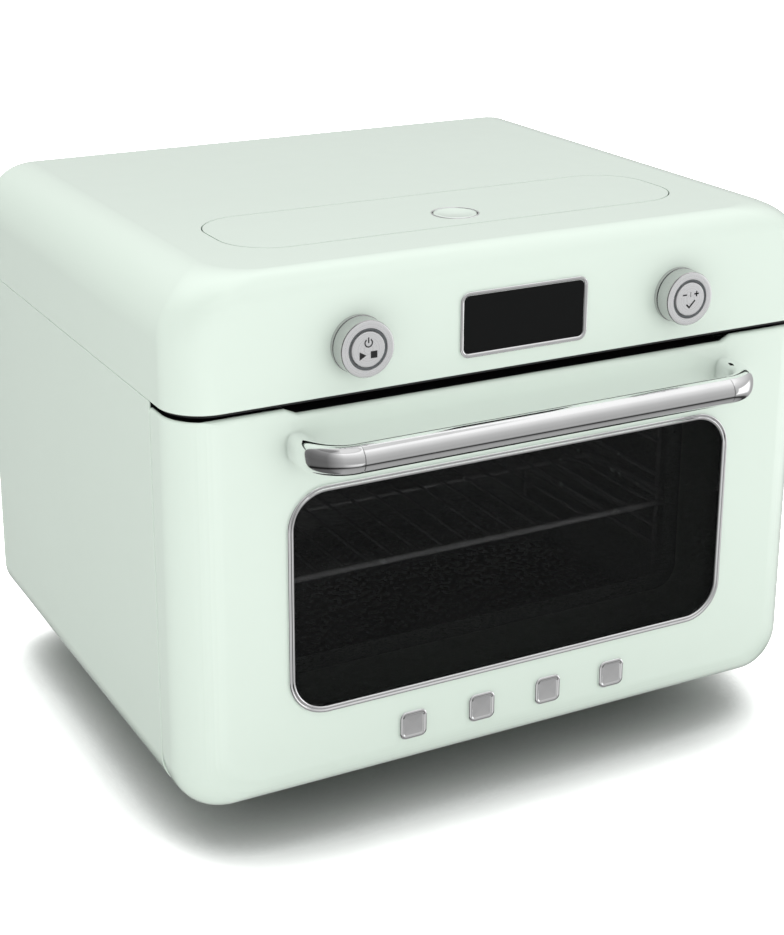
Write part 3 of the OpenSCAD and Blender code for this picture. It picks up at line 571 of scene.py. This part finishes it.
def handle():
    bar = span("handle_bar")
    r = (bar[5] - bar[2]) / 2
    y, z, x = (bar[1] + bar[4]) / 2, (bar[2] + bar[5]) / 2, bar[3]
    profile = [(-x + 0.05, r - 0.35), (-x + 0.4, r), (0, r), (x - 0.4, r), (x - 0.05, r - 0.35),
               (x - 0.05, r - TUBE_WALL), (0.05 - x, r - TUBE_WALL)]
    rings = []
    for px, pr in profile:
        rings.append([(px, y - pr * math.cos(a), z + pr * math.sin(a)) for a in angles(TUBE_SIDES)])
    verts, faces = skin(rings, around=True)
    crease(make("handle_tube", verts, faces, "door", "chrome", ["handle_bar"]), 30)
    for s, side in ((-1, "left"), (1, "right")):
        crease(elbow(f"handle_end_{side}", s, x, y, z, r, f"handle_bracket_{side}"), 30)


def elbow(name, s, x, y, z, r, node):
    """One cast end: a spigot in the tube, then a bend into a flat-sided oval arm."""
    outer = span(node)[3 if s > 0 else 0] * s - x
    bend = y + outer - r
    rings = []

    def ring(mx, my, ux, uy, half, power):
        points = []
        for a in angles(TUBE_SIDES):
            c, q = math.cos(a), math.sin(a)
            fat = (abs(c) ** power + abs(q) ** power) ** (-1 / power)
            points.append((s * (mx + ux * half * fat * c), my + uy * half * fat * c, z + r * fat * q))
        rings.append(points)

    ring(x - SPIGOT, y, 0, -1, r - SPIGOT_R, 2)
    ring(x, y, 0, -1, r - SPIGOT_R, 2)
    ring(x + 0.05, y, 0, -1, r - 0.35, 2)
    for k in range(19):
        t = k / 18
        a = math.radians(90 * t)
        far, near = outer, outer - 2 * r + FLATTER * t
        half = (far - near) / 2
        mid = (far + near) / 2
        ux, uy = math.sin(a), -math.cos(a)
        grow = 0.4 if k == 0 else 0.0
        ring(x + grow + mid * ux, bend + mid * uy, ux, uy, half, 2 + 0.7 * t)
    for py in (bend + 5, FRONT - 1.2):
        ring(x + mid, py, 1, 0, half, 2.7)
    ring(x + mid, FRONT - 0.4, 1, 0, half - 0.3, 2.7)
    ring(x + mid, FRONT - 0.02, 1, 0, half - 0.9, 2.7)
    verts, faces = skin(rings)
    n = len(rings[0])
    faces += [tuple(range(n)), tuple((len(rings) - 1) * n + i for i in range(n))]
    return make(name, verts, faces, "door", "chrome", [node])


# ---- Knobs and their symbols ----

SLEEVE_END = -161.2
AXIS = 0.01  # a turned profile stops this far short of its axis


def knobs():
    r = (KNOB[3] - KNOB[0]) / 2
    face, rear = KNOB[1], FRONT - 3
    sides = [(5.1, SLEEVE_END), (8, SLEEVE_END), (8, rear), (r - 0.5, rear), (r, rear - 0.6), (r, face + 1.3),
             (r - 0.15, face + 0.8), (r - 0.5, face + 0.35), (r - 0.8, face + 0.9), (5.1, face + 9.4)]
    front = [(r - 0.5, face + 0.35), (r - 1.1, face + 0.08), (r - 1.8, face), (14.1, face),
             (13.85, face + 0.1), (13.75, face + 0.4), (13.75, face + 1.9), (12.02, face + 1.9),
             (12.02, face + 9.2), (r - 0.8, face + 1.0)]
    groove = [(12.1, face + 1.0), (13.7, face + 1.0), (13.7, face + 1.85), (12.1, face + 1.85)]
    proud = face - 0.4
    button = [(AXIS, proud), (10.8, proud), (11.3, face - 0.3), (11.6, face), (11.7, face + 0.4),
              (11.7, face + 6.4), (5, face + 6.4), (5, face + 33.8), (AXIS, face + 33.8)]
    for s, side in ((-1, "left"), (1, "right")):
        x = s * KNOB_X
        rim = lathe(f"{side}_knob_rim", sides, x, KNOB_Z, f"{side}_knob", "chrome", [f"{side}_knob"])
        rim.data.materials[0] = SATIN_CHROME
        lathe(f"{side}_knob_face", front, x, KNOB_Z, f"{side}_knob", "brushed_silver")
        lathe(f"{side}_knob_groove", groove, x, KNOB_Z, f"{side}_knob", "grey_plastic")
        lathe(f"{side}_button_cap", button, x, KNOB_Z, f"{side}_button", "brushed_silver", [f"{side}_button"])
    play = [[(-6.4, -6.3), (-6.4, -0.9), (-1.6, -3.6)]]
    stop = [[(1.5, -5.9), (6.1, -5.9), (6.1, -1.3), (1.5, -1.3)]]
    power = [band(0, 4.4, 2.2, 3.05, 125 + k * 29, 125 + (k + 1) * 29) for k in range(10)]
    power += [[(-0.42, 4.3), (0.42, 4.3), (0.42, 8.0), (-0.42, 8.0)]]
    symbols("left_symbols", play + stop + power, -KNOB_X, proud, "left_button")
    minus = [[(-6.6, 2.9), (-3.2, 2.9), (-3.2, 3.9), (-6.6, 3.9)]]
    bar = [[(-0.18, 1.6), (0.18, 1.6), (0.18, 5.2), (-0.18, 5.2)]]
    plus = [[(3.0, 2.9), (6.8, 2.9), (6.8, 3.9), (3.0, 3.9)],
            [(4.4, 1.5), (5.4, 1.5), (5.4, 5.3), (4.4, 5.3)]]
    tick = [[(-3.6, -3.9), (-2.8, -3.1), (-0.9, -5.0), (-0.9, -6.6)],
            [(-0.9, -6.6), (-0.9, -5.0), (3.4, -0.7), (4.2, -1.5)]]
    symbols("right_symbols", minus + bar + plus + tick, KNOB_X, proud, "right_button")


def band(cx, cz, r0, r1, a0, a1):
    """One short piece of a ring between two radii and two angles."""
    a0, a1 = math.radians(a0), math.radians(a1)
    return [(cx + r * math.cos(a), cz + r * math.sin(a)) for r, a in ((r0, a0), (r1, a0), (r1, a1), (r0, a1))]


def symbols(name, shapes, x, y, body):
    """Thin printed marks standing a tenth of a millimetre off the button."""
    verts, faces = [], []
    for shape in shapes:
        start, n = len(verts), len(shape)
        for depth in (0.02, -0.1):
            verts += [(x + px, y + depth, KNOB_Z + pz) for px, pz in shape]
        faces += [tuple(start + i for i in range(n)), tuple(start + n + i for i in range(n))]
        faces += [(start + i, start + (i + 1) % n, start + n + (i + 1) % n, start + n + i) for i in range(n)]
    make(name, verts, faces, body, "black_plastic", flat=True)


CAP_FOOT = 394


def lid_details():
    ring = span("lid_ring")
    x, y, r, top = 0.0, (ring[1] + ring[4]) / 2, ring[3], ring[5]
    profile = [(r, ring[2]), (r, top - 0.6), (r - 0.2, top - 0.2), (r - 0.7, top), (r - 1.1, top - 0.15),
               (r - 1.4, top - 0.6), (r - 1.4, ring[2])]
    lathe("lid_button_ring", profile, x, y, "tank", "chrome", ["lid_ring"], upright=True)
    cap_box = span("lid_button")
    b, low, high = cap_box[3], cap_box[2], cap_box[5]
    profile = [(AXIS, high - 0.9), (6, high - 0.75), (11, high - 0.35), (13.2, high - 0.08), (14.2, high),
               (b - 0.4, high - 0.15), (b, high - 0.6), (b, CAP_FOOT), (5, CAP_FOOT), (5, low), (AXIS, low)]
    lathe("lid_button_cap", profile, x, y, "lid_button", "mint_enamel", ["lid_button"], upright=True)


dress_cad_nodes()
top_cover()
body_shell()
door_shell()
bright_frames()
studs()
handle()
knobs()
lid_details()


# ---- Floor, light and camera ----


def steps(tree, source, low, high, stops):
    """A brightness that follows a number between low and high through (number, brightness) stops."""
    fit = tree.nodes.new("ShaderNodeMapRange")
    fit.inputs["From Min"].default_value = low
    fit.inputs["From Max"].default_value = high
    tree.links.new(source, fit.inputs[0])
    node = tree.nodes.new("ShaderNodeValToRGB")
    while len(node.color_ramp.elements) < len(stops):
        node.color_ramp.elements.new(0.5)
    for element, (where, level) in zip(node.color_ramp.elements, stops):
        element.position = (where - low) / (high - low)
        element.color = (level, level, level, 1)
    tree.links.new(fit.outputs[0], node.inputs[0])
    return node.outputs[0]


def pale_floor():
    """A white floor that the camera sees darken only close to the object, a painted shadow in its colour."""
    bm = bmesh.new()
    bmesh.ops.create_grid(bm, x_segments=2, y_segments=2, size=30)
    mesh = bpy.data.meshes.new("floor")
    bm.to_mesh(mesh)
    bm.free()
    floor = bpy.data.objects.new("floor", mesh)
    floor.location = (0, 0, -0.0005)
    bpy.context.scene.collection.objects.link(floor)
    pale, tree, bsdf = shader("pale_floor", (1.0, 1.0, 1.0), 0.9, Specular_IOR_Level=0.0)
    near = tree.nodes.new("ShaderNodeAmbientOcclusion")
    near.inputs["Distance"].default_value = 0.10
    near.samples = 24
    bright = tree.nodes.new("ShaderNodeBsdfDiffuse")
    # Painted shadow: an ambient-occlusion node darkens the floor's colour under and beside the object, and
    # lifts it past white further out.
    shadow = steps(tree, near.outputs["AO"], 0, 1, [(0, 0.05), (0.5, 0.55), (0.7, 1.3), (0.88, 2.5)])
    tree.links.new(shadow, bright.inputs["Color"])
    seen = tree.nodes.new("ShaderNodeLightPath")
    blend = tree.nodes.new("ShaderNodeMixShader")
    tree.links.new(seen.outputs["Is Camera Ray"], blend.inputs[0])
    tree.links.new(bsdf.outputs[0], blend.inputs[1])
    tree.links.new(bright.outputs[0], blend.inputs[2])
    out = next(n for n in tree.nodes if n.type == "OUTPUT_MATERIAL")
    tree.links.new(blend.outputs[0], out.inputs[0])
    mesh.materials.append(pale)
    floor.visible_glossy = False


def by_height(tree, z, stops):
    return steps(tree, z, -1, 1, stops)


def by_azimuth(tree, turn, stops):
    """Stops in degrees from straight in front, growing to the right."""
    return steps(tree, turn, -180, 180, stops)


def tent():
    """Mirrored as bands by height and azimuth, a soft sky to matt surfaces, plain white to the camera."""
    world = bpy.data.worlds.new("studio")
    bpy.context.scene.world = world
    world.use_nodes = True
    tree = world.node_tree
    place = tree.nodes.new("ShaderNodeTexCoord")
    part = tree.nodes.new("ShaderNodeSeparateXYZ")
    tree.links.new(place.outputs["Generated"], part.inputs[0])
    x, y, z = part.outputs
    wall = by_height(tree, z, [(-1.0, 0.50), (-0.78, 0.45), (-0.69, 0.28), (-0.655, 0.05), (-0.57, 0.05),
                               (-0.52, 0.42), (-0.44, 0.55), (-0.2, 0.53), (0.03, 0.60), (0.23, 0.645),
                               (0.33, 0.70), (0.5, 0.84), (0.655, 0.99), (0.72, 1.10), (0.775, 1.26),
                               (0.862, 1.34), (0.870, 0.85), (0.90, 0.85), (0.92, 1.0)])
    forward = calc(tree, "MULTIPLY", y, -1.0)
    turn = calc(tree, "MULTIPLY", calc(tree, "ARCTAN2", x, forward), 180 / math.pi)
    left = calc(tree, "MULTIPLY",
                by_azimuth(tree, turn, [(-180, 0), (-24, 0), (-2, 0.4), (20, 0.55), (22, 0)]),
                by_height(tree, z, [(-1, 0), (-0.62, 0), (-0.56, 1), (-0.36, 1), (-0.32, 0)]))
    right = calc(tree, "MULTIPLY",
                 by_azimuth(tree, turn, [(-180, 0), (46, 0), (48, 1), (86, 1), (98, 0)]),
                 by_height(tree, z, [(-1, 0), (-0.42, 0), (-0.33, 1), (0.1, 1), (0.2, 0)]))
    shade = by_azimuth(tree, turn, [(-180, 0.8), (-150, 0.5), (-100, 0.28), (-60, 0.32), (-20, 1), (120, 1),
                                    (180, 0.8)])
    sky = calc(tree, "ADD", calc(tree, "MULTIPLY", wall, shade), calc(tree, "ADD", left, right))
    shiny = tree.nodes["Background"]
    tree.links.new(sky, shiny.inputs["Color"])
    shiny.inputs["Strength"].default_value = 0.77
    soft = tree.nodes.new("ShaderNodeBackground")
    around = by_azimuth(tree, turn, [(-180, 0.85), (-120, 0.72), (-60, 0.72), (-10, 1.05), (60, 0.95),
                                     (120, 0.8), (180, 0.85)])
    tree.links.new(around, soft.inputs["Color"])
    soft.inputs["Strength"].default_value = 1.02
    plain = tree.nodes.new("ShaderNodeBackground")
    plain.inputs["Color"].default_value = (1, 1, 1, 1)
    ray = tree.nodes.new("ShaderNodeLightPath")
    shown = shiny.outputs[0]
    for kind, other in (("Is Diffuse Ray", soft), ("Is Camera Ray", plain)):
        either = tree.nodes.new("ShaderNodeMixShader")
        tree.links.new(ray.outputs[kind], either.inputs[0])
        tree.links.new(shown, either.inputs[1])
        tree.links.new(other.outputs[0], either.inputs[2])
        shown = either.outputs[0]
    tree.links.new(shown, tree.nodes["World Output"].inputs[0])


def lamp(name, power, toward):
    """A broad soft light from far away; the tent alone makes the reflections."""
    light = bpy.data.lights.new(name, "SUN")
    light.energy = power
    light.angle = math.radians(50)
    holder = bpy.data.objects.new(name, light)
    holder.rotation_mode = "QUATERNION"
    holder.rotation_quaternion = Vector(toward).to_track_quat("Z", "Y")
    holder.visible_glossy = False
    bpy.context.scene.collection.objects.link(holder)


def studio():
    pale_floor()
    tent()
    lamp("key", 0.55, (0.2, -1.0, 0.1))
    lamp("fill", 0.25, (-1.0, 0.0, 0.1))
    lamp("overhead", 1.75, (0.0, 0.7, 1.0))
    scene = bpy.context.scene
    scene.view_settings.view_transform = "Standard"
    scene.view_settings.look = "None"


def camera():
    data = bpy.data.cameras.new("camera")
    data.sensor_width = 36
    data.lens = 71.3
    data.shift_x = 0.0271
    data.shift_y = -0.12
    data.clip_start, data.clip_end = 0.05, 200
    eye = bpy.data.objects.new("camera", data)
    eye.location = (-0.6313, -1.1718, 0.7022)
    eye.rotation_euler = (math.radians(90 - 17.80), 0, math.radians(-27.35))
    bpy.context.scene.collection.objects.link(eye)
    bpy.context.scene.camera = eye


studio()
camera()
